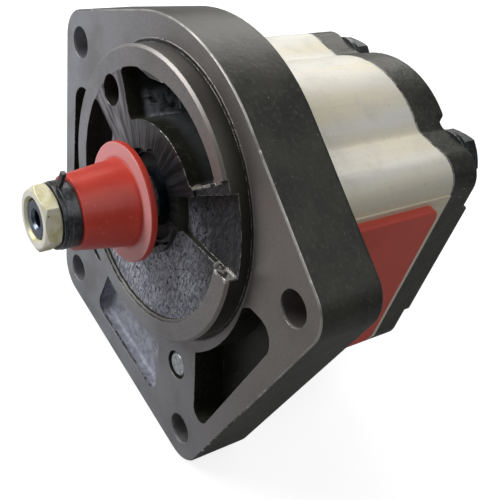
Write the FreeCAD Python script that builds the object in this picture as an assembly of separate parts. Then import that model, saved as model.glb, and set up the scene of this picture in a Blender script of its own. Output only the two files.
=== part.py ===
import FreeCAD, Part
import math
import os

# Hydraulic gear pump. Millimetres. The shaft runs along Y with its threaded end toward -Y.
# The origin is on the shaft axis, in the plane of the flange's mounting face. +Z points from the
# driven gear to the drive gear, and +X to the outlet side.

V = FreeCAD.Vector
os.makedirs("parts", exist_ok=True)

# ---- driving dimensions ----
GEAR_CENTRES = 30.0           # drive axis to driven axis
TEETH = 12
MODULE = 2.5
PRESSURE_ANGLE = math.radians(20)
GEAR_TIP_R = 17.35
GEAR_ROOT_R = 11.9
GEAR_BACKLASH = 0.20
GEAR_WIDTH = 20.0
GEAR_SIDE_GAP = 0.05

FLANGE_T = 22.0
PILOT_R = 45.0
PILOT_H = 6.7
PILOT_BORE_R = 38.6           # inside of the raised pilot ring
RIM_LEDGE_Y = -6.0            # painted ledge just inside the ring
CAST_FLOOR_Y = -5.0           # rough floor below the hub
STEP_FLOOR_Y = -3.3           # lower floor where the ring is broken, right of the hub
RIDGE_Y = -5.6                # ridge between that floor and the upper pocket
HUB_R = 25.5
DOME_R = 60.2                 # round top of the flange
DOME_CENTRE = (-1.5, -8.0)
UPPER_CORNER_R = 10.6
LOWER_CORNER_R = 11.3
HOLE_R = 5.25                 # M10 clearance
UPPER_HOLES = (63.0, 14.0)    # half spacing, height
LOWER_HOLES = (39.5, -70.0)

BODY_L = 53.5
BODY_HALF_W = 43.4            # across the ears
PORT_FACE_X = 44.0
BODY_DOME_R = 35.3
EAR_TOP = 27.6
EAR_CORNER_R = 9.0
CHAMBER_R = 17.45

COVER_T = 14.7
SPOT_FACE_DEPTH = 3.5
BOLT_X = 28.5
BOLT_Z = 19.2
BOLT_R = 5.0                  # M10 body bolts
BOLT_CLEAR_R = 5.3
BOLT_TIP = (0.5, 7.0, 4.5)    # front end, back end and radius of the dog point
BOLT_MOUTH_R = 4.85           # hole round the dog point
BOLT_HEAD_AF = 16.0
BOLT_HEAD_H = 5.9
BOLT_HEAD_TURN = math.radians(12)
BOLT_WASHER_T = 1.6

JOURNAL_R = 9.0
JOURNAL_GAP = 0.03
BUSH_WALL = 1.5
TAPER_Y = (-7.0, -30.0)
TAPER_R = (8.5, 6.2)          # 1 in 5 taper
THREAD_R = 5.95               # M12
SHAFT_END_Y = -40.9
NUT_AF = 17.0
NUT_Y = (-41.6, -36.5)
FLAT_WASHER_Y = (-36.5, -35.3)
TAB_WASHER_Y = (-35.3, -34.1)
SPRING_WASHER_Y = (-34.1, -31.2)

SEAL_BORE_R = 15.0
PORT_Y = FLANGE_T + BODY_L / 2
PORT_Z = -GEAR_CENTRES / 2
OUTLET_R = 8.0
INLET_R = 10.0
PORT_STUD = 14.14             # M6 holes on a 40 mm circle

DRIVE = (0.0, 0.0)
DRIVEN = (0.0, -GEAR_CENTRES)
BODY_END = FLANGE_T + BODY_L
COVER_END = BODY_END + COVER_T
GEAR_Y0 = PORT_Y - GEAR_WIDTH / 2
GEAR_Y1 = PORT_Y + GEAR_WIDTH / 2
BOLTS = [(sx * BOLT_X, z) for sx in (-1, 1) for z in (BOLT_Z, -GEAR_CENTRES - BOLT_Z)]


# ---- helpers: outlines lie in X-Z and are extruded along Y ----
def cyl(y0, y1, r, at=DRIVE):
    return Part.makeCylinder(r, y1 - y0, V(at[0], y0, at[1]), V(0, 1, 0))


def tube(y0, y1, r_out, r_in, at=DRIVE):
    return cyl(y0, y1, r_out, at).cut(cyl(y0 - 1, y1 + 1, r_in, at))


def cone(y0, r0, y1, r1):
    return Part.makeCone(r0, r1, y1 - y0, V(0, y0, 0), V(0, 1, 0))


def box(x0, x1, y0, y1, z0, z1):
    return Part.makeBox(x1 - x0, y1 - y0, z1 - z0, V(x0, y0, z0))


def prism(edges, y0, y1):
    face = Part.Face(Part.Wire(edges))
    face.translate(V(0, y0, 0))
    return face.extrude(V(0, y1 - y0, 0))


def polygon(corners, y0, y1):
    """Prism over (x, z) corners."""
    return Part.Face(Part.makePolygon([V(x, y0, z) for x, z in corners + corners[:1]])).extrude(
        V(0, y1 - y0, 0))


def polar(r, angle, at=DRIVE):
    return V(at[0] + r * math.cos(angle), 0, at[1] + r * math.sin(angle))


def arc(r, a0, a1, at=DRIVE):
    ends = [polar(r, a, at) for a in (a0, (a0 + a1) / 2, a1)]
    return Part.Arc(*ends).toShape()


def hull(circles, y0, y1):
    """Prism round a belt stretched over (x, z, r) circles, given anticlockwise."""
    tangents = []
    for i, (x0, z0, r0) in enumerate(circles):
        x1, z1, r1 = circles[(i + 1) % len(circles)]
        run = math.hypot(x1 - x0, z1 - z0)
        tangents.append(math.atan2(z1 - z0, x1 - x0) - math.pi / 2 + math.asin((r0 - r1) / run))
    edges = []
    for i, (x, z, r) in enumerate(circles):
        a0 = tangents[i - 1]
        a1 = a0 + (tangents[i] - a0) % (2 * math.pi)
        edges.append(arc(r, a0, a1, (x, z)))
        nx, nz, nr = circles[(i + 1) % len(circles)]
        edges.append(Part.makeLine(polar(r, a1, (x, z)), polar(nr, a1, (nx, nz))))
    return prism(edges, y0, y1)


def sector(r0, r1, deg0, deg1, y0, y1):
    a0, a1 = math.radians(deg0), math.radians(deg1)
    return prism([
        arc(r0, a0, a1), Part.makeLine(polar(r0, a1), polar(r1, a1)),
        arc(r1, a1, a0), Part.makeLine(polar(r1, a0), polar(r0, a0))], y0, y1)


def round_y_edges(shape, radius, keep=lambda p: True):
    """Fillet the straight edges that run along Y and pass the keep test."""
    chosen = [e for e in shape.Edges if isinstance(e.Curve, Part.Line)
              and abs(e.tangentAt(e.FirstParameter).y) > 0.999 and keep(e.CenterOfMass)]
    return shape.makeFillet(radius, chosen)


def soften_rim(shape, y, size):
    """Fillet the outline edges that lie in the plane at y."""
    rim = [e for e in shape.Edges if abs(e.BoundBox.YMin - y) < 1e-4 and abs(e.BoundBox.YMax - y) < 1e-4]
    return shape.makeFillet(size, rim)


def hexagon(y0, y1, across_flats, at=DRIVE, turn=0.0):
    corner = across_flats / 2 / math.cos(math.pi / 6)
    points = [polar(corner, turn + math.radians(60 * i), at) for i in range(7)]
    return prism([Part.makeLine(points[i], points[i + 1]) for i in range(6)], y0, y1)


def chamfered_hexagon(y0, y1, across_flats, at, front, rear, turn=0.0):
    """Hexagon whose corners are turned off by 30 degree cones on the chosen ends."""
    body = hexagon(y0, y1, across_flats, at, turn)
    flat_r, corner_r = across_flats / 2 - 0.3, across_flats / 2 / math.cos(math.pi / 6) + 0.2
    drop = (corner_r - flat_r) * math.tan(math.radians(30))
    turned = cyl(y0 + drop * front, y1 - drop * rear, corner_r, at)
    if front:
        end = Part.makeCone(flat_r, corner_r, drop, V(at[0], y0, at[1]), V(0, 1, 0))
        turned = turned.fuse(end)
    if rear:
        end = Part.makeCone(corner_r, flat_r, drop, V(at[0], y1 - drop, at[1]), V(0, 1, 0))
        turned = turned.fuse(end)
    return body.common(turned.removeSplitter())


def fused(shapes):
    result = shapes[0]
    for shape in shapes[1:]:
        result = result.fuse(shape)
    return result.removeSplitter()


def cut_all(shape, cutters):
    for cutter in cutters:
        shape = shape.cut(cutter)
    return shape


def save(name, shape):
    shape.exportStep(os.path.join("parts", name + ".step"))


def mirrored(shape):
    return shape.mirror(V(0, 0, 0), V(1, 0, 0))


# ---- gears ----
def gear_blank(at, phase):
    """Involute spur gear with straight root flanks. One tooth points along phase."""
    pitch_r = MODULE * TEETH / 2
    base_r = pitch_r * math.cos(PRESSURE_ANGLE)
    pitch_half = math.pi / (2 * TEETH) - GEAR_BACKLASH / (4 * pitch_r)

    def involute(angle):
        return math.tan(angle) - angle

    def half_tooth(r):
        return pitch_half + involute(PRESSURE_ANGLE) - involute(math.acos(min(1.0, base_r / r)))

    steps = 6
    radii = [base_r + (GEAR_TIP_R - base_r) * i / steps for i in range(steps + 1)]
    edges = []
    for tooth in range(TEETH):
        mid = phase + 2 * math.pi * tooth / TEETH
        after = mid + 2 * math.pi / TEETH
        lower, upper = Part.BSplineCurve(), Part.BSplineCurve()
        lower.interpolate([polar(r, mid - half_tooth(r), at) for r in radii])
        upper.interpolate([polar(r, mid + half_tooth(r), at) for r in reversed(radii)])
        foot = half_tooth(base_r)
        tip = half_tooth(GEAR_TIP_R)
        edges += [
            Part.makeLine(polar(GEAR_ROOT_R, mid - foot, at), polar(base_r, mid - foot, at)),
            lower.toShape(), arc(GEAR_TIP_R, mid - tip, mid + tip, at), upper.toShape(),
            Part.makeLine(polar(base_r, mid + foot, at), polar(GEAR_ROOT_R, mid + foot, at)),
            arc(GEAR_ROOT_R, mid + foot, after - foot, at)]
    return prism(edges, GEAR_Y0, GEAR_Y1)


def make_drive_gear():
    shaft = fused([
        gear_blank(DRIVE, -math.pi / 2),
        cyl(TAPER_Y[0], BODY_END - 1.5, JOURNAL_R),
        cone(TAPER_Y[1], TAPER_R[1], TAPER_Y[0], TAPER_R[0]),
        cyl(SHAFT_END_Y + 1.0, TAPER_Y[1], THREAD_R),
        cone(SHAFT_END_Y, THREAD_R - 0.6, SHAFT_END_Y + 1.0, THREAD_R)])
    centre_drill = cone(SHAFT_END_Y - 0.01, 3.3, SHAFT_END_Y + 0.8, 2.6).fuse(
        cyl(SHAFT_END_Y, SHAFT_END_Y + 6, 2.6))
    return shaft.cut(centre_drill).cut(woodruff_disc(0.0))


def woodruff_disc(gap):
    """Half-moon key, 4 wide and 16 across, sunk in the top of the taper."""
    radius, width, mid_y, sink = 8.0 - gap, 4.0 - 2 * gap, -16.0, 7.6
    disc = Part.makeCylinder(radius, width, V(-width / 2, mid_y, sink), V(1, 0, 0))
    return disc.common(box(-5, 5, mid_y - 10, mid_y + 10, -5, sink + 1.6))


def make_driven_gear():
    shaft = cyl(FLANGE_T + 1.5, BODY_END - 1.5, JOURNAL_R, DRIVEN)
    return fused([gear_blank(DRIVEN, math.pi / 2 + math.pi / TEETH), shaft])


# ---- front flange ----
def upper_cored_pocket(front, floor):
    """Hollow above the hub. It widens to the right, and its roof steps down near the left end."""
    wide = sector(20.0, PILOT_R, 45.5, 132, front, floor).common(cyl(front, floor, 37.6, (2.5, 1.45)))
    pocket = sector(20.0, PILOT_BORE_R, 45.5, 132, front, floor).fuse(wide)
    pocket = pocket.cut(cyl(front, floor, 25.2, (3.0, 0.0))).removeSplitter()
    pocket = round_y_edges(pocket, 1.5, lambda p: abs(math.degrees(math.atan2(p.z, p.x)) - 90) > 25)
    step = [(-17.8, 34.6), (-10.5, 35.4), (-3.6, 38.2), (-4.0, 42.0), (-18.0, 42.0)]
    return pocket.cut(polygon(step, front - 1, floor + 1)).removeSplitter()


def make_front_flange():
    (ux, uz), (lx, lz) = UPPER_HOLES, LOWER_HOLES
    plate = hull([(*DOME_CENTRE, DOME_R), (-ux, uz, UPPER_CORNER_R), (-lx, lz, LOWER_CORNER_R),
                  (lx, lz, LOWER_CORNER_R), (ux, uz, UPPER_CORNER_R)], 0, FLANGE_T)
    plate = soften_rim(soften_rim(plate, FLANGE_T, 1.5), 0, 0.6)
    pilot = cyl(-PILOT_H, 0.5, PILOT_R)
    pilot = pilot.makeChamfer(0.8, [e for e in pilot.Edges if e.BoundBox.YMax < -PILOT_H + 0.1])
    body = plate.fuse(pilot).removeSplitter()

    floor, foot_floor = FLANGE_T - 11.0, 4.2
    front = -PILOT_H - 1
    side_pocket = hull([(45.6, -53.0, 3.8), (54.6, -5.6, 6.4), (50.5, -2.4, 2.6),
                        (30.0, -20.0, 1.0)], -1, floor).cut(cyl(-2, floor + 1, 46.6, (0.0, -4.7)))
    side_pocket = round_y_edges(side_pocket, 2.4, lambda p: p.z > -12)
    foot_pocket = hull([(-17.2, -68.4, 4.4), (17.2, -68.2, 4.4), (13.0, -46.0, 3.0),
                        (-15.0, -46.0, 3.0)], -1, foot_floor).cut(cyl(-2, floor, PILOT_R + 9.0))
    foot_pocket = soften_rim(round_y_edges(foot_pocket, 1.5, lambda p: p.z > -58), foot_floor, 1.4)
    cored_left = round_y_edges(sector(HUB_R - 2, PILOT_BORE_R, 163, 218, front, floor), 2.0)
    cutters = [
        side_pocket, mirrored(side_pocket), foot_pocket, upper_cored_pocket(front, floor), cored_left,
        sector(SEAL_BORE_R + 2.0, PILOT_BORE_R, 218.5, 369.5, front, RIM_LEDGE_Y),
        sector(SEAL_BORE_R + 2.0, PILOT_BORE_R - 0.9, 218.5, 369.5, front, CAST_FLOOR_Y),
        sector(HUB_R - 6.0, PILOT_R + 1.0, 9.5, 40.5, front, STEP_FLOOR_Y),
        sector(HUB_R + 3.0, PILOT_R + 1.0, 40.4, 45.6, front, RIDGE_Y),
        cyl(front, 4.0, SEAL_BORE_R), cyl(3.0, FLANGE_T + 1, JOURNAL_R + 1.0)]
    for deg in (93, -12):
        notch = polar(SEAL_BORE_R - 1.6, math.radians(deg))
        cutters.append(cyl(front, -2.0, 3.5, (notch.x, notch.z)))
    for x, z in (UPPER_HOLES, LOWER_HOLES):
        cutters += [cyl(-1, FLANGE_T + 1, HOLE_R, (s * x, z)) for s in (-1, 1)]
    for x, z in BOLTS:
        blind = x > 0 and z > 0
        cutters += [cyl(-1.0 if blind else front, FLANGE_T + 1, BOLT_MOUTH_R, (x, z)),
                    cyl(BOLT_TIP[1] - 1.0, FLANGE_T + 1, BOLT_CLEAR_R, (x, z))]
    cutters.append(tube(-4.3, -3.0, SEAL_BORE_R + 1.1, SEAL_BORE_R - 1))
    cutters.append(seal_track(FLANGE_T - 2.0, FLANGE_T + 1))
    cutters += dowel_holes(FLANGE_T - 5.0, FLANGE_T + 1)
    return cut_all(body, cutters)


# ---- body, cover and their seals ----
def body_outline(y0, y1):
    """Two round gear ends with four bolt ears. The ears run out of the ends in small hollows."""
    ear_bottom = -GEAR_CENTRES - EAR_TOP
    inset = EAR_CORNER_R
    corners = [(-BODY_HALF_W + inset, ear_bottom + inset, inset),
               (BODY_HALF_W - inset, ear_bottom + inset, inset),
               (BODY_HALF_W - inset, EAR_TOP - inset, inset),
               (-BODY_HALF_W + inset, EAR_TOP - inset, inset)]
    shape = fused([hull(corners, y0, y1), cyl(y0, y1, BODY_DOME_R, DRIVE),
                   cyl(y0, y1, BODY_DOME_R, DRIVEN)])
    return round_y_edges(shape, 5.0, lambda p: abs(p.x) < 26 and (p.z > 20 or p.z < -50))


def figure_eight(y0, y1, radius):
    return fused([cyl(y0, y1, radius, DRIVE), cyl(y0, y1, radius, DRIVEN)])


def seal_track(y0, y1):
    """Groove round the gear chamber for a body seal."""
    r_in, r_out = CHAMBER_R + 3.0, CHAMBER_R + 5.2
    outer = hull([(0, 0, r_out), (0, -GEAR_CENTRES, r_out)], y0, y1)
    inner = hull([(0, 0, r_in), (0, -GEAR_CENTRES, r_in)], y0 - 1, y1 + 1)
    return outer.cut(inner)


def dowel_holes(y0, y1, radius=3.0):
    return [cyl(y0, y1, radius, (s * 36.0, PORT_Z + s * 22.0)) for s in (-1, 1)]


def make_pump_body():
    shape = body_outline(FLANGE_T, BODY_END)
    port_land = box(-PORT_FACE_X, PORT_FACE_X, FLANGE_T, BODY_END,
                    -GEAR_CENTRES - EAR_TOP + EAR_CORNER_R, EAR_TOP - EAR_CORNER_R)
    shape = shape.fuse(port_land).removeSplitter()
    cutters = [figure_eight(FLANGE_T - 1, BODY_END + 1, CHAMBER_R)]
    cutters += [cyl(FLANGE_T - 1, BODY_END + 1, BOLT_CLEAR_R, at) for at in BOLTS]
    for side, radius in ((1, OUTLET_R), (-1, INLET_R)):
        cutters.append(Part.makeCylinder(radius, PORT_FACE_X, V(side * 5, PORT_Y, PORT_Z), V(side, 0, 0)))
        for dy in (-PORT_STUD, PORT_STUD):
            for dz in (-PORT_STUD, PORT_STUD):
                start = V(side * (PORT_FACE_X - 12), PORT_Y + dy, PORT_Z + dz)
                cutters.append(Part.makeCylinder(2.5, 14, start, V(side, 0, 0)))
    cutters += dowel_holes(FLANGE_T - 1, FLANGE_T + 6) + dowel_holes(BODY_END - 6, BODY_END + 1)
    return cut_all(shape, cutters)


def make_rear_cover():
    shape = soften_rim(soften_rim(body_outline(BODY_END, COVER_END), COVER_END, 1.5), BODY_END, 0.5)
    spot_y = COVER_END - SPOT_FACE_DEPTH
    reach, relief = 60.0, 10.0
    cutters = [seal_track(BODY_END - 1, BODY_END + 2.0)]
    for x, z in BOLTS:
        sx, sz = math.copysign(1, x), math.copysign(1, z - PORT_Z)
        x0, z0 = x - sx * relief, z - sz * relief
        pad = box(min(x0, x0 + sx * reach), max(x0, x0 + sx * reach), spot_y, COVER_END + 1,
                  min(z0, z0 + sz * reach), max(z0, z0 + sz * reach))
        pad = round_y_edges(pad, relief - 0.2, lambda p: abs(p.x - x0) < 0.1 and abs(p.z - z0) < 0.1)
        cutters += [pad, cyl(BODY_END - 1, COVER_END + 1, BOLT_CLEAR_R, (x, z))]
    cutters += dowel_holes(BODY_END - 1, BODY_END + 5.0)
    return cut_all(shape, cutters)


# ---- bearing blocks, bushes, balance seals ----
BLOCK_R = CHAMBER_R - 0.05
BUSH_R = JOURNAL_R + JOURNAL_GAP + BUSH_WALL
FRONT_BLOCK = (FLANGE_T, GEAR_Y0 - GEAR_SIDE_GAP)
REAR_BLOCK = (GEAR_Y1 + GEAR_SIDE_GAP, BODY_END)


def balance_track(y0, y1, r_in, r_out):
    """Three-shaped track on the back of a bearing block, open toward the low-pressure side."""
    track = fused([sector_at(at, r_in, r_out, y0, y1) for at in (DRIVE, DRIVEN)])
    return track


def sector_at(at, r_in, r_out, y0, y1):
    shape = tube(y0, y1, r_out, r_in, at)
    keep_z = (PORT_Z, 40) if at == DRIVE else (-70, PORT_Z)
    return shape.common(box(-6, 40, y0, y1, *keep_z))


def make_block(span, outer_y):
    """Figure-eight block. outer_y is the face that carries the balance seal."""
    y0, y1 = span
    cutters = [cyl(y0 - 1, y1 + 1, BUSH_R, at) for at in (DRIVE, DRIVEN)]
    depth = 2.0 if outer_y == y0 else -2.0
    cutters.append(balance_track(min(outer_y, outer_y + depth), max(outer_y, outer_y + depth), 12.6, 15.6))
    return cut_all(figure_eight(y0, y1, BLOCK_R), cutters)


def make_bush(span, at):
    return tube(span[0] + 0.5, span[1] - 0.5, BUSH_R, JOURNAL_R + JOURNAL_GAP, at)


# ---- shaft-end pieces ----
def make_shaft_guard():
    foot_y, rim_y, nose_y = -12.4, -14.6, SPRING_WASHER_Y[1]
    nose_r, root_r, foot_r, wall = 10.9, 13.2, 18.1, 1.6
    outer = fused([cone(nose_y, nose_r, rim_y, root_r), cyl(rim_y, foot_y, foot_r)])
    outer = outer.makeFillet(0.5, [e for e in outer.Edges if e.BoundBox.XMax > foot_r - 0.1
                                   and e.BoundBox.YMax - e.BoundBox.YMin < 0.1])
    hollow = cone(nose_y + wall, nose_r - wall, foot_y + 0.01, root_r - wall + 0.2)
    return outer.cut(hollow).cut(cyl(nose_y - 1, nose_y + wall + 1, THREAD_R + 0.45))


def make_tab_washer():
    """Thin washer with one tab that stands up past the nut and leans back over the stack."""
    (front, rear), rim, tip_r, lean = TAB_WASHER_Y, 9.8, 14.3, 0.9
    outline = [(rear, rim - 1.0), (rear, rim), (rear + lean, tip_r), (front + lean, tip_r),
               (front, rim), (front, rim - 1.0), (rear, rim - 1.0)]
    face = Part.Face(Part.makePolygon([V(-0.8, y, z) for y, z in outline]))
    tab = face.extrude(V(1.6, 0, 0))
    tab.rotate(V(0, 0, 0), V(0, 1, 0), -5)
    return tube(front, rear, rim, THREAD_R + 0.3).fuse(tab).removeSplitter()


def make_spring_washer():
    """Spring washer with a slanting split at its lower right."""
    coil = tube(*SPRING_WASHER_Y, 9.8, THREAD_R + 0.2)
    gap = box(5.0, 12.0, SPRING_WASHER_Y[0] - 1, SPRING_WASHER_Y[1] + 1, -0.6, 0.6)
    gap.rotate(V(0, sum(SPRING_WASHER_Y) / 2, 0), V(1, 0, 0), 20)
    gap.rotate(V(0, 0, 0), V(0, 1, 0), 70)
    return coil.cut(gap)


def make_shaft_nut():
    nut = chamfered_hexagon(*NUT_Y, NUT_AF, DRIVE, True, True, math.radians(-4))
    countersink = cone(NUT_Y[0] - 0.01, THREAD_R + 0.75, NUT_Y[0] + 0.8, THREAD_R)
    return nut.cut(cyl(NUT_Y[0] - 1, NUT_Y[1] + 1, THREAD_R)).cut(countersink)


def make_shaft_seal():
    """Rubber lip seal. Its lip clears the shaft by a running fit."""
    y0, y1 = -3.0, 4.0
    shell = tube(y0, y1, SEAL_BORE_R, JOURNAL_R + JOURNAL_GAP)
    hollow = tube(y0 + 2.0, y1 + 1, SEAL_BORE_R - 2.0, JOURNAL_R + 1.6)
    return shell.cut(hollow)


def make_circlip():
    clip = tube(-4.2, -3.0, SEAL_BORE_R + 1.0, SEAL_BORE_R - 1.5)
    lugs = [cyl(-4.2, -3.0, 1.6, (s * 3.4, -SEAL_BORE_R + 1.8)) for s in (-1, 1)]
    clip = clip.cut(box(-3.2, 3.2, -5, -2, -SEAL_BORE_R - 2, -8))
    clip = fused([clip] + lugs)
    return cut_all(clip, [cyl(-5, -2, 0.7, (s * 3.4, -SEAL_BORE_R + 1.8)) for s in (-1, 1)])


# ---- fasteners and covers ----
def make_body_bolt(at):
    head_y = COVER_END - SPOT_FACE_DEPTH + BOLT_WASHER_T
    tip_y, tip_end, tip_r = BOLT_TIP
    point = cyl(tip_y, tip_end, tip_r, at)
    point = point.makeChamfer(0.9, [e for e in point.Edges if e.BoundBox.YMax < tip_y + 0.1])
    shank = cyl(tip_end, head_y + 0.5, BOLT_R, at).fuse(point)
    head = chamfered_hexagon(head_y, head_y + BOLT_HEAD_H, BOLT_HEAD_AF, at, False, True, BOLT_HEAD_TURN)
    return shank.fuse(head).removeSplitter()


def make_port_cover(side, port_r):
    """Plate on the port face with a hollow plug in the port."""
    plate_t, half_y, above, below, corner = 3.0, 20.8, 31.8, 30.0, 4.0
    x0 = PORT_FACE_X
    plate = box(x0, x0 + plate_t, PORT_Y - half_y, PORT_Y + half_y, PORT_Z - below, PORT_Z + above)
    along_x = [e for e in plate.Edges if e.BoundBox.XMax - e.BoundBox.XMin > plate_t - 0.1]
    plate = plate.makeFillet(corner, along_x)
    outer = [e for e in plate.Edges if e.BoundBox.XMin > x0 + plate_t - 0.01]
    plate = plate.makeFillet(1.0, outer)
    plug = Part.makeCylinder(port_r, 8.5, V(x0 - 8, PORT_Y, PORT_Z), V(1, 0, 0))
    hollow = Part.makeCylinder(port_r - 1.5, 8.0, V(x0 - 9, PORT_Y, PORT_Z), V(1, 0, 0))
    cover = plate.fuse(plug).removeSplitter().cut(hollow)
    return cover if side > 0 else mirrored(cover)


# ---- write every sub-part ----
save("front_flange", make_front_flange())
save("pump_body", make_pump_body())
save("rear_cover", make_rear_cover())
save("drive_gear", make_drive_gear())
save("driven_gear", make_driven_gear())
save("front_bearing_block", make_block(FRONT_BLOCK, FRONT_BLOCK[0]))
save("rear_bearing_block", make_block(REAR_BLOCK, REAR_BLOCK[1]))
for prefix, at in (("drive", DRIVE), ("driven", DRIVEN)):
    save(prefix + "_front_bush", make_bush(FRONT_BLOCK, at))
    save(prefix + "_rear_bush", make_bush(REAR_BLOCK, at))
save("front_body_seal", seal_track(FLANGE_T - 2.0, FLANGE_T))
save("rear_body_seal", seal_track(BODY_END, BODY_END + 2.0))
save("front_balance_seal", balance_track(FRONT_BLOCK[0], FRONT_BLOCK[0] + 2.0, 13.8, 15.6))
save("rear_balance_seal", balance_track(REAR_BLOCK[1] - 2.0, REAR_BLOCK[1], 13.8, 15.6))
save("front_backup_ring", balance_track(FRONT_BLOCK[0], FRONT_BLOCK[0] + 2.0, 12.6, 13.8))
save("rear_backup_ring", balance_track(REAR_BLOCK[1] - 2.0, REAR_BLOCK[1], 12.6, 13.8))
save("shaft_seal", make_shaft_seal())
save("seal_circlip", make_circlip())
save("woodruff_key", woodruff_disc(0.01))
save("shaft_guard", make_shaft_guard())
save("tab_washer", make_tab_washer())
save("spring_washer", make_spring_washer())
save("flat_washer", tube(*FLAT_WASHER_Y, 9.6, THREAD_R + 0.3))
save("shaft_nut", make_shaft_nut())
save("port_cover_right", make_port_cover(1, OUTLET_R))
save("port_cover_left", make_port_cover(-1, INLET_R))
save("body_bolts", Part.makeCompound([make_body_bolt(at) for at in BOLTS]))
spot = COVER_END - SPOT_FACE_DEPTH
save("bolt_washers", Part.makeCompound(
    [tube(spot, spot + BOLT_WASHER_T, 9.5, BOLT_R + 0.25, at) for at in BOLTS]))
save("front_dowels", Part.makeCompound(dowel_holes(FLANGE_T - 4.8, FLANGE_T + 5.8)))
save("rear_dowels", Part.makeCompound(dowel_holes(BODY_END - 5.8, BODY_END + 4.8)))
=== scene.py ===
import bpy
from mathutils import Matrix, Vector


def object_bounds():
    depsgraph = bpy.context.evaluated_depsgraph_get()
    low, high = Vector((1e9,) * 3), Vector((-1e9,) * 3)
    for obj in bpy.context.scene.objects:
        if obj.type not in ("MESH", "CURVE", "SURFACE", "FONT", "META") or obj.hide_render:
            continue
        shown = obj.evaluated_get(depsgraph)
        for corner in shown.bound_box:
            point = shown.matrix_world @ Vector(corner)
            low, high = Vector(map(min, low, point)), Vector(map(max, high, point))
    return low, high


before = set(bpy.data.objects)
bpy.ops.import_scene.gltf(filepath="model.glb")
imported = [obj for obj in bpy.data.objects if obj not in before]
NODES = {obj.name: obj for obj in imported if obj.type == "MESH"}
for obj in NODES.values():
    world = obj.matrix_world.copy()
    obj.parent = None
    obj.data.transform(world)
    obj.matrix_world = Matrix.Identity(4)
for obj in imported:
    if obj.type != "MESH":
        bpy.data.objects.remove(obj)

from types import SimpleNamespace

import bmesh
import bpy
from mathutils import Matrix, Vector

CAD_BOX = [list(corner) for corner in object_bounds()]
MM = 0.001

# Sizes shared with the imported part, in millimetres. The flange's front face is at y = 0.
PILOT_R = 45.0
PILOT_H = 6.7
PILOT_BORE_R = 38.6
LEDGE_Y = -6.0                    # the step just inside the pilot's rim
LEDGE_R = (37.6, 38.7)
CAST_FLOOR_Y = -5.6               # the rough casting between hub and rim lies behind this
HUB_R = 24.0
FLANGE_EDGE_Y = 14.0              # wear on the flange's edges ends here
FOOT_HOLLOW = ((-23.0, 23.0), (0.25, 4.6), (-74.0, -46.0))
# x and z weights that are 0 all along a line through the drive axis.
UPPER_POCKET_END = (0.743, 0.669)
STEP_INNER_END = (-0.7145, 0.6997)
STEP_OUTER_END = (-0.165, 0.986)
BODY_END = 75.5
HOLE_MOUTH_R = 5.7
UPPER_HOLES = (63.0, 14.0)
LOWER_HOLES = (39.5, -70.0)
BOLT_POINT_Y = 6.0                # the bolts' dog points lie in front of this
GUARD_FOOT_R = 13.0

# Studio, in metres and watts.
FLOOR_DROP = 0.0005
FLOOR_HALF = 4.0
PUMP_MIDDLE = (0, 0.03, -0.01)
FLOOR_GLOW = 0.80                 # as the camera sees the floor
WORLD_DIM, WORLD_BRIGHT = 0.14, 1.0

# The photograph's view: close, from the shaft end's upper right, rolled with the tilted pump.
CAMERA_LENS, CAMERA_SENSOR, CAMERA_CLIP = 59.59, 36.0, 0.01
CAMERA_PLACE = (0.15641, -0.12210, 0.15731)
CAMERA_FORWARD = (-0.52152, 0.55594, -0.64726)
CAMERA_UP = (-0.66555, 0.20963, 0.71631)

# Painted shade: the near black of the casting's pits and sunk crumbs.
PIT_SHADE_BLACK = (0.008, 0.008, 0.009)


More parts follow.
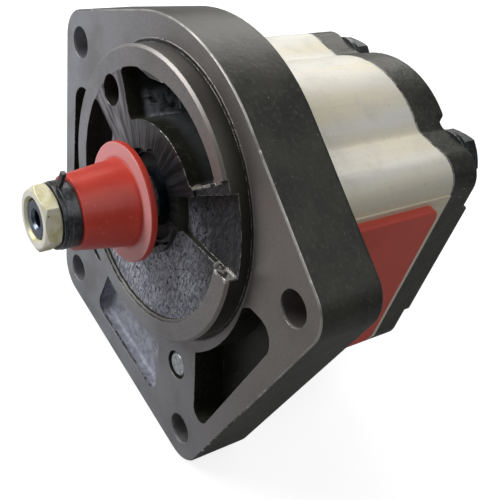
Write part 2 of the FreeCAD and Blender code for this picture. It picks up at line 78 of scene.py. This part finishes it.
# ---- node graphs ----
class Graph:
    """One material's node tree. Each call adds nodes and returns the socket that holds the answer."""

    def __init__(self, name):
        self.material = bpy.data.materials.new(name)
        self.material.use_nodes = True
        self.tree = self.material.node_tree
        self.tree.nodes.clear()
        coords = self.add("TexCoord")
        self.place = self.vector("SCALE", coords.outputs["Object"], scale=1 / MM)
        self.x, self.y, self.z = self.split(self.place)
        _, self.ny, self.nz = self.split(coords.outputs["Normal"])

    def add(self, kind, values=None, **settings):
        node = self.tree.nodes.new("ShaderNode" + kind)
        for key, value in settings.items():
            setattr(node, key, value)
        for key, value in (values or {}).items():
            self.feed(node.inputs[key], value)
        return node

    def feed(self, socket, value):
        if isinstance(value, bpy.types.NodeSocket):
            self.tree.links.new(value, socket)
        elif socket.type == "RGBA":
            socket.default_value = (*value, 1.0)
        else:
            socket.default_value = value

    def split(self, vector):
        return self.add("SeparateXYZ", {0: vector}).outputs[:]

    def join(self, x, y, z):
        return self.add("CombineXYZ", {0: x, 1: y, 2: z}).outputs[0]

    def vector(self, operation, a, b=None, scale=None):
        node = self.add("VectorMath", {0: a}, operation=operation)
        if b is not None:
            self.feed(node.inputs[1], b)
        if scale is not None:
            self.feed(node.inputs["Scale"], scale)
        return node.outputs["Value" if operation in ("LENGTH", "DOT_PRODUCT") else "Vector"]

    def math(self, operation, a, b=0.0):
        return self.add("Math", {0: a, 1: b}, operation=operation).outputs[0]

    def times(self, *factors):
        product = factors[0]
        for factor in factors[1:]:
            product = self.math("MULTIPLY", product, factor)
        return product

    def most(self, *values):
        top = values[0]
        for value in values[1:]:
            top = self.math("MAXIMUM", top, value)
        return top

    def rise(self, value, low, high, to_low=0.0, to_high=1.0):
        """Goes from to_low to to_high as value goes from low to high."""
        node = self.add("MapRange", {"Value": value, "From Min": low, "From Max": high,
                                     "To Min": to_low, "To Max": to_high},
                        interpolation_type="SMOOTHSTEP")
        return node.outputs["Result"]

    def within(self, value, low, high, soft=0.1):
        """1 between low and high, 0 beyond them by more than soft."""
        return self.times(self.rise(value, low - soft, low), self.rise(value, high, high + soft, 1, 0))

    def radius(self, x=0.0, z=0.0, mirror=False):
        """Distance from a line along Y at x, z. With mirror, from that line or its mirror image."""
        across = self.math("ABSOLUTE", self.x) if mirror else self.x
        return self.vector("LENGTH", self.join(self.math("SUBTRACT", across, x), 0.0,
                                               self.math("SUBTRACT", self.z, z)))

    def noise(self, size, detail=2.0, rough=0.5, stretch=(1, 1, 1), warp=0.0, shift=0.0):
        """Noise from 0 to 1 whose blotches are about size mm across, times stretch along each axis."""
        scaled = self.vector("MULTIPLY", self.place, tuple(1 / (size * s) for s in stretch))
        scaled = self.vector("ADD", scaled, (shift, shift * 0.7, shift * 1.3))
        return self.add("TexNoise", {"Vector": scaled, "Scale": 1.0, "Detail": detail,
                                     "Roughness": rough, "Distortion": warp}).outputs["Fac"]

    def rays(self, radius, count):
        """Brush marks that run outwards from the drive axis, and change slowly on their way."""
        unit = self.join(self.math("DIVIDE", self.x, radius), self.times(radius, 0.05 / count),
                         self.math("DIVIDE", self.z, radius))
        return self.add("TexNoise", {"Vector": self.vector("SCALE", unit, scale=count), "Scale": 1.0,
                                     "Detail": 4.0, "Roughness": 0.6}).outputs["Fac"]

    def along(self, across, up):
        """How far a point lies across and up: x and z times these weights, in mm."""
        return self.math("ADD", self.times(self.x, across), self.times(self.z, up))

    def rings(self, radius, pitch):
        """Turning marks: noise along the radius, that changes slowly along Y."""
        along = self.join(self.math("DIVIDE", radius, pitch), self.math("MULTIPLY", self.y, 0.05), 0.0)
        return self.add("TexNoise", {"Vector": along, "Scale": 1.0, "Detail": 3.0,
                                     "Roughness": 0.6}).outputs["Fac"]

    def mix(self, amount, a, b):
        """Between the colours a and b."""
        node = self.add("Mix", data_type="RGBA")
        self.feed(node.inputs[0], amount)
        self.feed(node.inputs[6], a)
        self.feed(node.inputs[7], b)
        return node.outputs[2]

    def blend(self, amount, a, b):
        """Between the numbers a and b."""
        node = self.add("Mix", data_type="FLOAT")
        self.feed(node.inputs[0], amount)
        self.feed(node.inputs[2], a)
        self.feed(node.inputs[3], b)
        return node.outputs[0]

    def rounded(self, radius):
        """The surface normal with each edge rounded to radius mm."""
        return self.add("Bevel", {"Radius": radius * MM}, samples=4).outputs[0]

    def edges(self, radius):
        """1 on the edges, out to radius mm from them."""
        flat = self.add("NewGeometry").outputs["Normal"]
        bent = self.vector("DOT_PRODUCT", self.rounded(radius), flat)
        return self.rise(self.math("SUBTRACT", 1.0, bent), 0.03, 0.25)

    def bump(self, height, depth, normal=None):
        """Raises the surface by depth mm where height is 1."""
        node = self.add("Bump", {"Height": height, "Strength": 1.0, "Distance": depth * MM})
        if normal is not None:
            self.feed(node.inputs["Normal"], normal)
        return node.outputs[0]

    def surface(self, colour, roughness, metallic=0.0, normal=None, more=None):
        """Finishes the material. more is any other input of the shader, by its name."""
        shader = self.add("BsdfPrincipled", {"Base Color": colour, "Roughness": roughness,
                                             "Metallic": metallic})
        if normal is not None:
            self.feed(shader.inputs["Normal"], normal)
        for key, value in (more or {}).items():
            self.feed(shader.inputs[key], value)
        out = self.add("OutputMaterial")
        self.tree.links.new(shader.outputs[0], out.inputs[0])
        return self.material


# ---- finishes ----
def painted(g, lump=1.0):
    """Black paint over cast iron: colour, roughness and relief height."""
    wide, fine = g.noise(16, 3), g.noise(1.4, 4, 0.6)
    speck = g.rise(g.noise(0.7, 2, 0.7, shift=4.0), 0.73, 0.77)
    scratch = g.rise(g.noise(0.45, 2, 0.5, stretch=(1.0, 14, 2.5), shift=8.0), 0.74, 0.79)
    colour = g.mix(g.rise(wide, 0.3, 0.7), (0.010, 0.011, 0.008), (0.030, 0.029, 0.021))
    colour = g.mix(g.rise(fine, 0.50, 0.72), colour, (0.046, 0.046, 0.038))
    colour = g.mix(g.most(speck, g.times(scratch, 0.6)), colour, (0.36, 0.36, 0.32))
    roughness = g.blend(fine, 0.34, 0.54)
    height = g.math("ADD", g.times(g.noise(7, 3), lump), g.times(fine, 0.35))
    return colour, roughness, height


def flange_zones(g):
    """The flange's surfaces by what they look like, each as a socket that is 1 there and 0 elsewhere."""
    zone = SimpleNamespace()
    zone.forward = g.math("MULTIPLY", g.ny, -1.0)
    zone.radius = g.radius()
    zone.front = g.rise(zone.forward, 0.86, 0.95)
    foremost = g.times(zone.front, g.rise(g.y, -PILOT_H + 0.3, -PILOT_H + 0.5, 1, 0))

    # machined
    zone.face = g.times(zone.front, g.within(g.y, -0.4, 0.4))
    zone.rim = g.times(foremost, g.rise(zone.radius, PILOT_BORE_R - 0.5, PILOT_BORE_R - 0.2))
    zone.holes = g.most(*(g.rise(g.radius(*at, mirror=True), HOLE_MOUTH_R, HOLE_MOUTH_R + 0.3, 1, 0)
                          for at in (UPPER_HOLES, LOWER_HOLES)))
    zone.pilot_side = g.times(g.within(zone.radius, PILOT_R - 0.3, PILOT_R + 0.3),
                              g.rise(g.y, -0.1, 0.1, 1, 0), g.rise(zone.forward, 0.3, 0.5, 1, 0))
    chamfer = g.times(g.within(zone.radius, PILOT_R - 0.9, PILOT_R + 0.1),
                      g.within(zone.forward, 0.4, 0.9, 0.05),
                      g.rise(g.y, -PILOT_H + 0.9, -PILOT_H + 1.1, 1, 0))
    ledge = g.times(zone.front, g.within(g.y, LEDGE_Y - 0.15, LEDGE_Y + 0.15),
                    g.within(zone.radius, *LEDGE_R))
    zone.smooth_edges = g.most(chamfer, ledge)
    zone.ragged = g.noise(1.3, 3, 0.6)
    near_front = g.math("SUBTRACT", g.y, g.times(g.rise(zone.ragged, 0.55, 0.75), 0.7))
    chipped = g.times(g.rise(near_front, -0.12, 0.0, 1, 0), g.rise(g.y, -0.2, 0.0),
                      g.rise(zone.radius, PILOT_R + 1, PILOT_R + 2))
    zone.bare = g.most(zone.face, zone.rim, zone.holes, zone.pilot_side, chipped, zone.smooth_edges)

    # painted: hub and webs, the casting between hub and rim, and the hollows
    zone.hub = g.times(foremost, g.rise(zone.radius, PILOT_BORE_R - 0.2, PILOT_BORE_R - 0.5))
    zone.floor = g.times(zone.front, g.rise(g.y, CAST_FLOOR_Y - 0.2, CAST_FLOOR_Y),
                         g.rise(g.y, 2.0, 2.5, 1, 0), g.rise(zone.radius, PILOT_R + 1.4, PILOT_R + 1.0))
    zone.foot = g.times(*(g.within(value, *span) for value, span in zip((g.x, g.y, g.z), FOOT_HOLLOW)))
    zone.inside = g.times(g.rise(g.y, -3.0, 2.0),
                          g.rise(zone.radius, PILOT_BORE_R + 1.5, PILOT_BORE_R - 0.5))
    zone.end_wall = g.times(g.within(g.along(*UPPER_POCKET_END), -0.8, 0.8), g.rise(g.y, -2.0, 1.5),
                            g.rise(zone.radius, 33.0, 29.0), g.rise(g.x, -10.0, -12.0))
    return zone


def machined_iron(g, zone):
    """Bare iron, browner and darker towards the dome as painted shade, lighter and bluer at the far side as
    painted light: colour, roughness and relief height.
    """
    grain = g.noise(0.7, 4, 0.65)
    stain = g.noise(20, 3, 0.55)
    turned = g.rings(zone.radius, 0.55)
    # Painted light and shade: the iron goes from light blue-grey at the lower left to dark brown towards the
    # dome.
    painted_dome_shade = g.rise(g.along(0.8, 0.6), -60.0, 62.0)
    metal = g.mix(painted_dome_shade, (0.42, 0.43, 0.47), (0.235, 0.208, 0.192))
    dark_grain = g.mix(painted_dome_shade, (0.30, 0.31, 0.34), (0.155, 0.138, 0.126))
    metal = g.mix(g.times(g.rise(grain, 0.35, 0.7), 0.55), metal, dark_grain)
    metal = g.mix(g.times(g.rise(stain, 0.42, 0.72), 0.45), metal, (0.135, 0.118, 0.105))
    metal = g.mix(g.times(turned, 0.25), metal, (0.36, 0.35, 0.34))
    nick = g.times(zone.face, g.rise(g.noise(1.0, 3, 0.6, shift=6.0), 0.30, 0.25),
                   g.rise(g.noise(9.0, 2, shift=1.0), 0.45, 0.6))
    metal = g.mix(nick, metal, (0.04, 0.04, 0.04))
    # Painted shade: the pilot's side goes from light grey to near black towards the dome, darkest in grain
    # patches.
    shaded_pilot_side = g.mix(painted_dome_shade, (0.42, 0.41, 0.41), (0.050, 0.045, 0.034))
    metal = g.mix(zone.pilot_side, metal, g.mix(g.times(grain, 0.6), shaded_pilot_side, (0.045, 0.040, 0.034)))
    # Painted shade: the groove round the pilot's base is coloured near black.
    groove_shade = g.times(zone.face, g.within(zone.radius, PILOT_R, PILOT_R + 0.7, 0.3))
    metal = g.mix(g.times(groove_shade, 0.85), metal, (0.020, 0.019, 0.018))
    # Painted highlight: the pilot's chamfer and the ledge inside its rim are coloured bright grey over bare
    # iron, darker towards the dome.
    metal = g.mix(zone.smooth_edges, metal, g.mix(painted_dome_shade, (0.46, 0.45, 0.45), (0.19, 0.17, 0.155)))
    # Painted highlight: ragged bright patches on the upward-facing walls at the bolt holes' mouths.
    hole_lip_highlight = g.times(zone.holes, g.within(g.y, -0.1, 0.7, 0.2), g.rise(zone.ragged, 0.36, 0.48),
                  g.rise(g.nz, 0.1, 0.6))
    metal = g.mix(hole_lip_highlight, metal, (0.60, 0.59, 0.58))
    roughness = g.blend(zone.smooth_edges, g.blend(grain, 0.38, 0.54), 0.44)
    return metal, roughness, g.math("ADD", g.times(turned, 0.5), g.times(grain, 0.5))


def rough_casting(g, painted_shade_amount):
    """The crumbly casting between hub and rim: colour, crumbs and pits. Its raised crumbs are painted light
    as highlights, its sunk crumbs and pits painted dark as shade, and the whole turns darker as painted
    shade with the shade amount.
    """
    crumbs = g.noise(1.25, 4, 0.66, stretch=(0.75, 1, 1.7), warp=0.7)
    pits = g.rise(g.noise(1.5, 2, 0.5, shift=9.0), 0.31, 0.39, 1, 0)
    coarse = g.rise(g.noise(9.0, 3, 0.6, shift=2.0), 0.35, 0.65)
    lit_crumbs = g.mix(painted_shade_amount, g.mix(coarse, (0.50, 0.51, 0.60), (0.70, 0.72, 0.82)), (0.045, 0.045, 0.050))
    sunk = g.mix(painted_shade_amount, (0.11, 0.112, 0.135), PIT_SHADE_BLACK)
    return g.mix(pits, g.mix(g.rise(crumbs, 0.32, 0.68), sunk, lit_crumbs), PIT_SHADE_BLACK), crumbs, pits


def hollows(g, zone, paint, mottle):
    """The paint in the hollows: painted light grey-blue in the foot, and a painted lit patch on the wall
    above the hub.
    """
    # Painted light: the foot hollow is coloured light grey-blue, darker in patches near its mouth.
    foot_painted_light = g.mix(g.rise(mottle, 0.3, 0.7), (0.20, 0.205, 0.25), (0.37, 0.38, 0.45))
    foot_painted_light = g.mix(g.times(g.rise(g.y, 1.5, 0.6), g.rise(mottle, 0.4, 0.55)), foot_painted_light, (0.05, 0.05, 0.06))
    paint = g.mix(zone.foot, paint, foot_painted_light)
    paint = g.mix(zone.inside, paint, g.mix(mottle, (0.030, 0.032, 0.033), (0.105, 0.110, 0.115)))
    # Painted light: a pale patch on the wall above the hub.
    return g.mix(g.times(zone.end_wall, g.rise(mottle, 0.30, 0.60)), paint, (0.72, 0.75, 0.82))


def step_ridge_highlight(g, zone):
    """Painted highlights on the wet-looking ridges of paint at both ends of the cut-away step."""
    inner_ridge = g.times(g.within(g.along(*STEP_INNER_END), -0.7, 0.3, 0.3),
                          g.within(zone.radius, 28.0, 41.0, 1.5))
    outer_ridge = g.times(g.within(g.along(*STEP_OUTER_END), -0.9, 0.4, 0.4),
                          g.within(zone.radius, 37.0, 43.5, 1.5), g.rise(g.x, 0.0, 1.0))
    return g.times(g.most(inner_ridge, outer_ridge), g.rise(g.y, -3.0, -3.4),
                   g.rise(g.noise(3.4, 2, 0.5, shift=5.0), 0.44, 0.54))


def flange_wear(g, zone):
    """Bright edges: the bare fillet round the front face, brighter towards its top as a painted highlight,
    and worn corners.
    """
    fillet = g.times(g.within(zone.forward, 0.12, 0.93, 0.05), g.within(g.y, -0.2, 0.62),
                     g.rise(zone.radius, PILOT_R + 2.5, PILOT_R + 3.5))
    # Painted highlight: the fillet's bright line is strongest at the top.
    top_highlight = g.rise(g.along(0.5, 1.0), -14.0, 14.0)
    line = g.times(fillet, g.most(g.times(top_highlight, g.rise(g.noise(9.0, 2), 0.25, 0.6, 0.25, 0.75)),
                                  g.rise(g.noise(2.2, 3, 0.6), 0.54, 0.64)))
    worn = g.times(g.edges(0.45), g.rise(g.noise(2.4, 3, 0.6, shift=2.0), 0.42, 0.58),
                   g.rise(g.y, 1.0, -0.5, 0.55, 1.0), g.rise(g.y, FLANGE_EDGE_Y, FLANGE_EDGE_Y - 8),
                   g.rise(zone.radius, HUB_R - 1, HUB_R + 1))
    return g.most(worn, line)


def flange_material():
    """Cast iron: machined on its faces and in its holes, black paint over rough casting elsewhere."""
    g = Graph("flange_iron")
    zone = flange_zones(g)
    metal, metal_rough, metal_height = machined_iron(g, zone)
    paint, paint_rough, paint_height = painted(g)

    # the hub and webs were brushed outwards while wet; their streaks are painted pale as a sheen, fading
    # into painted shade towards the upper right, as on the floor
    to_upper_right = g.along(0.7, 0.7)
    rays = g.rays(zone.radius, 11.0)
    hub_painted_shade = g.rise(to_upper_right, -20.0, 20.0)
    brush_streak_sheen = g.times(g.rise(rays, 0.36, 0.66), g.rise(hub_painted_shade, 0.0, 1.0, 1.0, 0.06))
    paint = g.mix(zone.hub, paint, g.mix(brush_streak_sheen, (0.012, 0.012, 0.013), (0.33, 0.31, 0.35)))
    paint_rough = g.blend(zone.hub, paint_rough, g.blend(rays, 0.20, 0.45))
    # Painted shade: the casting is coloured darker towards the upper right.
    cast, crumbs, pits = rough_casting(g, g.rise(to_upper_right, 3.0, 31.0))
    paint = g.mix(zone.floor, paint, cast)
    paint_rough = g.blend(zone.floor, paint_rough, g.blend(crumbs, 0.32, 0.50))
    mottle = g.noise(2.6, 4, 0.62, warp=0.4)
    paint = hollows(g, zone, paint, mottle)

    ridge_highlight = step_ridge_highlight(g, zone)
    bright = g.most(flange_wear(g, zone), ridge_highlight)
    # Worn edges and the painted highlights are coloured pale grey.
    colour = g.mix(bright, g.mix(zone.bare, paint, metal), (0.58, 0.56, 0.53))
    roughness = g.blend(ridge_highlight, g.blend(zone.bare, paint_rough, metal_rough), 0.15)
    metallic = g.times(g.most(zone.bare, bright), 0.8)
    relief = g.rounded(0.3)
    for height, depth in ((g.times(paint_height, g.rise(zone.bare, 0, 1, 1, 0)), 0.22),
                          (g.times(g.math("SUBTRACT", crumbs, g.times(pits, 0.8)), zone.floor), 0.8),
                          (g.times(rays, zone.hub), 0.45),
                          (g.times(mottle, g.most(zone.foot, zone.end_wall)), 0.5),
                          (g.times(metal_height, zone.bare), 0.035)):
        relief = g.bump(height, depth, relief)
    return g.surface(colour, roughness, metallic, relief, {"Specular IOR Level": 0.4})


def cover_iron_material():
    """The same black paint, with a bare line where the cover meets the body."""
    g = Graph("cover_iron")
    colour, roughness, height = painted(g, 1.4)
    line = g.times(g.within(g.y, BODY_END, BODY_END + 0.7), g.rise(g.noise(3.0, 3, 0.6), 0.36, 0.5))
    worn = g.times(g.edges(0.4), g.rise(g.noise(2.0, 3, 0.6), 0.52, 0.66))
    bright = g.most(worn, g.times(line, 0.8))
    colour = g.mix(bright, colour, (0.34, 0.33, 0.31))
    return g.surface(colour, roughness, g.times(bright, 0.7), g.bump(height, 0.32, g.rounded(0.4)),
                     {"Specular IOR Level": 0.4})


def extruded_material():
    """Extruded aluminium: lines along Y, warm and cool bands round the outline, small pits."""
    g = Graph("extruded_aluminium")
    lines = g.noise(0.45, 3, 0.6, stretch=(1, 70, 1))
    bands = g.noise(13, 3, 0.5, stretch=(1, 9, 1))
    haze = g.noise(8, 4, 0.6, shift=3.0)
    pits = g.rise(g.noise(1.0, 2, 0.6, shift=7.0), 0.25, 0.29, 1, 0)
    colour = g.mix(g.rise(bands, 0.35, 0.65), (0.70, 0.685, 0.635), (0.69, 0.64, 0.50))
    colour = g.mix(g.times(g.rise(haze, 0.48, 0.75), 0.7), colour, (0.60, 0.575, 0.50))
    colour = g.mix(g.times(g.rise(lines, 0.5, 0.8), 0.35), colour, (0.54, 0.52, 0.46))
    colour = g.mix(pits, colour, (0.24, 0.22, 0.18))
    sawn = g.rise(g.math("ABSOLUTE", g.ny), 0.7, 0.9)
    roughness = g.blend(sawn, g.blend(haze, 0.50, 0.66), 0.36)
    relief = g.bump(lines, 0.03, g.rounded(0.3))
    relief = g.bump(haze, 0.15, relief)
    return g.surface(colour, roughness, 0.38, relief)


def mottled(g, size, wide_size, dark, light):
    """Cloudy metal: the fine noise itself, and dark and light mixed by fine and wide noise together."""
    fine, wide = g.noise(size, 4, 0.6), g.noise(wide_size, 2)
    cloud = g.math("ADD", g.times(fine, 0.6), g.times(wide, 0.4))
    return fine, g.mix(g.rise(cloud, 0.35, 0.65), dark, light)


def edges_worn_and_lit(g, colour, edge):
    """The colour with its edges worn to the colour edge, in patches; the pale edges also serve as painted
    highlights.
    """
    return g.mix(g.times(g.edges(0.3), g.rise(g.noise(1.5, 3, 0.6), 0.35, 0.6)), colour, edge)


def metal_material(name, dark, light, roughness, metallic=1.0, edge=None, turned=True):
    """A plain metal with mottled colour and roughness, worn edges that also serve as painted highlights, and
    turning marks where turned.
    """
    g = Graph(name)
    mottle, colour = mottled(g, 1.2, 8.4, dark, light)
    if edge:
        colour = edges_worn_and_lit(g, colour, edge)
    rough = g.blend(mottle, roughness * 0.8, roughness * 1.2)
    height = mottle
    if turned:
        height = g.math("ADD", g.times(mottle, 0.4), g.times(g.rings(g.radius(), 0.3), 0.6))
    return g.surface(colour, rough, metallic, g.bump(height, 0.03, g.rounded(0.2)))


def nut_material():
    """Yellow zinc plate: cream and olive patches, one rust spot, and the end face painted pale cream as a
    highlight.
    """
    g = Graph("yellow_zinc")
    patch = g.noise(5.0, 3, 0.5, warp=0.4)
    fine = g.noise(0.7, 3, 0.6)
    colour = g.mix(g.rise(patch, 0.38, 0.62), (0.62, 0.57, 0.31), (0.80, 0.77, 0.60))
    colour = g.mix(g.times(g.rise(fine, 0.5, 0.8), 0.35), colour, (0.46, 0.41, 0.20))
    end_face_highlight = g.rise(g.math("ABSOLUTE", g.ny), 0.8, 0.95)
    # Painted highlight: the end face is coloured pale cream.
    colour = g.mix(g.times(end_face_highlight, 0.85), colour, (0.95, 0.93, 0.86))
    colour = g.mix(g.rise(g.noise(1.9, 1, 0.5, shift=5.2), 0.76, 0.80), colour, (0.12, 0.05, 0.02))
    colour = g.mix(g.times(g.edges(0.3), 0.6), colour, (0.92, 0.90, 0.80))
    rough = g.blend(end_face_highlight, g.blend(fine, 0.30, 0.44), 0.55)
    return g.surface(colour, rough, 0.35, g.bump(fine, 0.03, g.rounded(0.35)))


def guard_material():
    """Moulded orange-red plastic, a little translucent, with a painted pale pink sheen on the disc's front
    face and painted highlights along its edges.
    """
    g = Graph("guard_plastic")
    cloud = g.noise(6.0, 3, 0.5)
    fine = g.noise(0.5, 2, 0.6)
    colour = g.mix(cloud, (0.50, 0.036, 0.022), (0.64, 0.060, 0.034))
    # Painted sheen: the disc's front face is coloured pale pink.
    disc_sheen = g.times(g.rise(g.math("MULTIPLY", g.ny, -1.0), 0.7, 0.9),
                   g.rise(g.radius(), GUARD_FOOT_R, GUARD_FOOT_R + 1.5))
    colour = g.mix(g.times(disc_sheen, 0.5), colour, (0.92, 0.60, 0.62))
    # Painted highlight: the edges are coloured bright orange-red.
    colour = g.mix(g.times(g.edges(0.7), 0.6), colour, (0.90, 0.20, 0.13))
    dust = g.times(g.rise(g.noise(1.4, 4, 0.7, shift=3.0), 0.58, 0.74), 0.25)
    colour = g.mix(dust, colour, (0.80, 0.45, 0.40))
    height = g.math("ADD", g.times(cloud, 0.7), g.times(fine, 0.3))
    return g.surface(colour, g.blend(fine, 0.30, 0.42), 0.0, g.bump(height, 0.08, g.rounded(0.4)),
                     {"Subsurface Weight": 0.12, "Subsurface Radius": (2.0 * MM, 0.5 * MM, 0.3 * MM),
                      "Subsurface Scale": 1.0})


def cover_plastic_material():
    """Brick-red port cover, satin, with soft mould texture, scuffs and edges painted lighter as a highlight.
    """
    g = Graph("cover_plastic")
    cloud = g.noise(8.0, 3, 0.5)
    fine = g.noise(0.4, 3, 0.6)
    scuff = g.times(g.rise(g.noise(1.0, 3, 0.6, stretch=(1, 7, 1)), 0.62, 0.74), 0.35)
    colour = g.mix(cloud, (0.50, 0.064, 0.042), (0.62, 0.088, 0.058))
    colour = g.mix(scuff, colour, (0.62, 0.18, 0.13))
    # Painted highlight: the edges are coloured lighter red.
    colour = g.mix(g.times(g.edges(0.6), 0.5), colour, (0.74, 0.16, 0.10))
    return g.surface(colour, g.blend(fine, 0.40, 0.54), 0.0, g.bump(fine, 0.03, g.rounded(0.5)),
                     {"Specular IOR Level": 0.35})


def rubber_material():
    """Matt black rubber with a little dust."""
    g = Graph("seal_rubber")
    fine = g.noise(0.6, 4, 0.6)
    dust = g.rise(g.noise(2.5, 3, 0.6), 0.55, 0.75)
    colour = g.mix(g.times(dust, 0.5), (0.018, 0.017, 0.017), (0.07, 0.065, 0.06))
    return g.surface(colour, g.blend(fine, 0.5, 0.7), 0.0, g.bump(fine, 0.04, g.rounded(0.2)))


def backup_material():
    """Cream plastic of the backup rings."""
    g = Graph("backup_plastic")
    cloud = g.noise(1.5, 3, 0.5)
    colour = g.mix(cloud, (0.62, 0.58, 0.48), (0.74, 0.71, 0.62))
    return g.surface(colour, g.blend(cloud, 0.4, 0.55), 0.0, g.bump(cloud, 0.03, g.rounded(0.15)))


def bolt_material():
    """Black bolts whose dog points are bare."""
    g = Graph("bolt_steel")
    mottle, black = mottled(g, 0.7, 5.0, (0.026, 0.027, 0.030), (0.080, 0.083, 0.090))
    black = edges_worn_and_lit(g, black, (0.40, 0.41, 0.43))
    point = g.rise(g.y, BOLT_POINT_Y + 0.5, BOLT_POINT_Y - 0.5)
    tip = g.mix(g.rise(g.noise(1.2, 4, 0.65, shift=2.0), 0.35, 0.68), (0.40, 0.42, 0.45), (0.72, 0.74, 0.78))
    return g.surface(g.mix(point, black, tip), g.blend(mottle, 0.28, 0.42), 0.85,
                     g.bump(mottle, 0.05, g.rounded(0.3)))


FINISHES = [
    (flange_material(), ["front_flange"]),
    (cover_iron_material(), ["rear_cover"]),
    (extruded_material(), ["pump_body"]),
    (metal_material("block_aluminium", (0.62, 0.61, 0.59), (0.76, 0.75, 0.73), 0.38),
     ["front_bearing_block", "rear_bearing_block"]),
    (metal_material("bush_bronze", (0.42, 0.27, 0.12), (0.58, 0.40, 0.20), 0.34),
     ["drive_front_bush", "drive_rear_bush", "driven_front_bush", "driven_rear_bush"]),
    (metal_material("ground_steel", (0.08, 0.10, 0.14), (0.18, 0.21, 0.26), 0.34, edge=(0.78, 0.80, 0.82)),
     ["drive_gear", "driven_gear", "front_dowels", "rear_dowels"]),
    # Painted highlight, partly: the washers' pale worn edges stand for the bright lines between them.
    (metal_material("black_steel", (0.030, 0.031, 0.034), (0.095, 0.098, 0.106), 0.34, metallic=0.7,
                    edge=(0.42, 0.43, 0.45), turned=False),
     ["bolt_washers", "woodruff_key", "seal_circlip", "spring_washer", "tab_washer", "flat_washer"]),
    (bolt_material(), ["body_bolts"]),
    (nut_material(), ["shaft_nut"]),
    (guard_material(), ["shaft_guard"]),
    (cover_plastic_material(), ["port_cover_right", "port_cover_left"]),
    (rubber_material(), ["shaft_seal", "front_body_seal", "rear_body_seal", "front_balance_seal",
                         "rear_balance_seal"]),
    (backup_material(), ["front_backup_ring", "rear_backup_ring"]),
]
for material, names in FINISHES:
    for name in names:
        for material_slot in NODES[name].material_slots:
            material_slot.material = material


# ---- floor, light and camera ----
def floor_material():
    """Pale paper. It shows white from anywhere, and throws only part of the light back at the pump."""
    g = Graph("pale_floor")
    cloud = g.noise(180, 3, 0.5)
    colour = g.mix(cloud, (0.36, 0.36, 0.365), (0.40, 0.40, 0.405))
    seen = g.add("LightPath").outputs["Is Camera Ray"]
    return g.surface(colour, g.blend(cloud, 0.55, 0.65),
                     more={"Emission Color": (1, 1, 1), "Emission Strength": g.times(seen, FLOOR_GLOW)})


def add_floor(height):
    mesh = bpy.data.meshes.new("floor")
    b = bmesh.new()
    bmesh.ops.create_grid(b, x_segments=8, y_segments=8, size=FLOOR_HALF)
    bmesh.ops.translate(b, verts=b.verts, vec=(0, 0, height))
    b.to_mesh(mesh)
    b.free()
    mesh.materials.append(floor_material())
    floor = bpy.data.objects.new("floor", mesh)
    bpy.context.scene.collection.objects.link(floor)


def softbox(name, direction, distance, size, power, colour=(1, 1, 1)):
    """A rectangular area light, size wide and high, that looks at the middle of the pump."""
    light = bpy.data.lights.new(name, "AREA")
    light.shape = "RECTANGLE"
    light.size, light.size_y = size
    light.energy, light.color = power, colour
    lamp = bpy.data.objects.new(name, light)
    aim = Vector(direction).normalized()
    lamp.location = Vector(PUMP_MIDDLE) + aim * distance
    lamp.rotation_euler = aim.to_track_quat("Z", "Y").to_euler()
    bpy.context.scene.collection.objects.link(lamp)


def add_camera():
    data = bpy.data.cameras.new("camera")
    data.lens, data.sensor_width, data.clip_start = CAMERA_LENS, CAMERA_SENSOR, CAMERA_CLIP
    camera = bpy.data.objects.new("camera", data)
    forward = Vector(CAMERA_FORWARD).normalized()
    right = forward.cross(Vector(CAMERA_UP)).normalized()
    up = right.cross(forward)
    turn = Matrix((right, up, -forward)).transposed().to_4x4()
    camera.matrix_world = Matrix.Translation(CAMERA_PLACE) @ turn
    bpy.context.scene.collection.objects.link(camera)
    bpy.context.scene.camera = camera


def add_world():
    """Dim all round, so that the softboxes shape the pump, and white where the camera sees it."""
    world = bpy.data.worlds.new("studio")
    world.use_nodes = True
    tree = world.node_tree
    background = tree.nodes["Background"]
    background.inputs["Color"].default_value = (0.94, 0.97, 1.0, 1.0)
    seen = tree.nodes.new("ShaderNodeLightPath").outputs["Is Camera Ray"]
    strength = tree.nodes.new("ShaderNodeMapRange")
    strength.inputs["To Min"].default_value = WORLD_DIM
    strength.inputs["To Max"].default_value = WORLD_BRIGHT
    tree.links.new(seen, strength.inputs["Value"])
    tree.links.new(strength.outputs["Result"], background.inputs["Strength"])
    bpy.context.scene.world = world


add_floor(CAD_BOX[0][2] - FLOOR_DROP)
softbox("key", direction=(-0.60, -0.58, 0.55), distance=0.9, size=(0.70, 0.50), power=7.5)
softbox("top", direction=(-0.70, 0.52, 0.50), distance=1.0, size=(0.55, 0.55), power=3.7,
        colour=(1.0, 0.98, 0.94))
softbox("fill", direction=(0.45, 0.20, 0.90), distance=1.2, size=(1.2, 1.2), power=5.6)
add_world()
add_camera()
bpy.context.scene.view_settings.view_transform = "Standard"
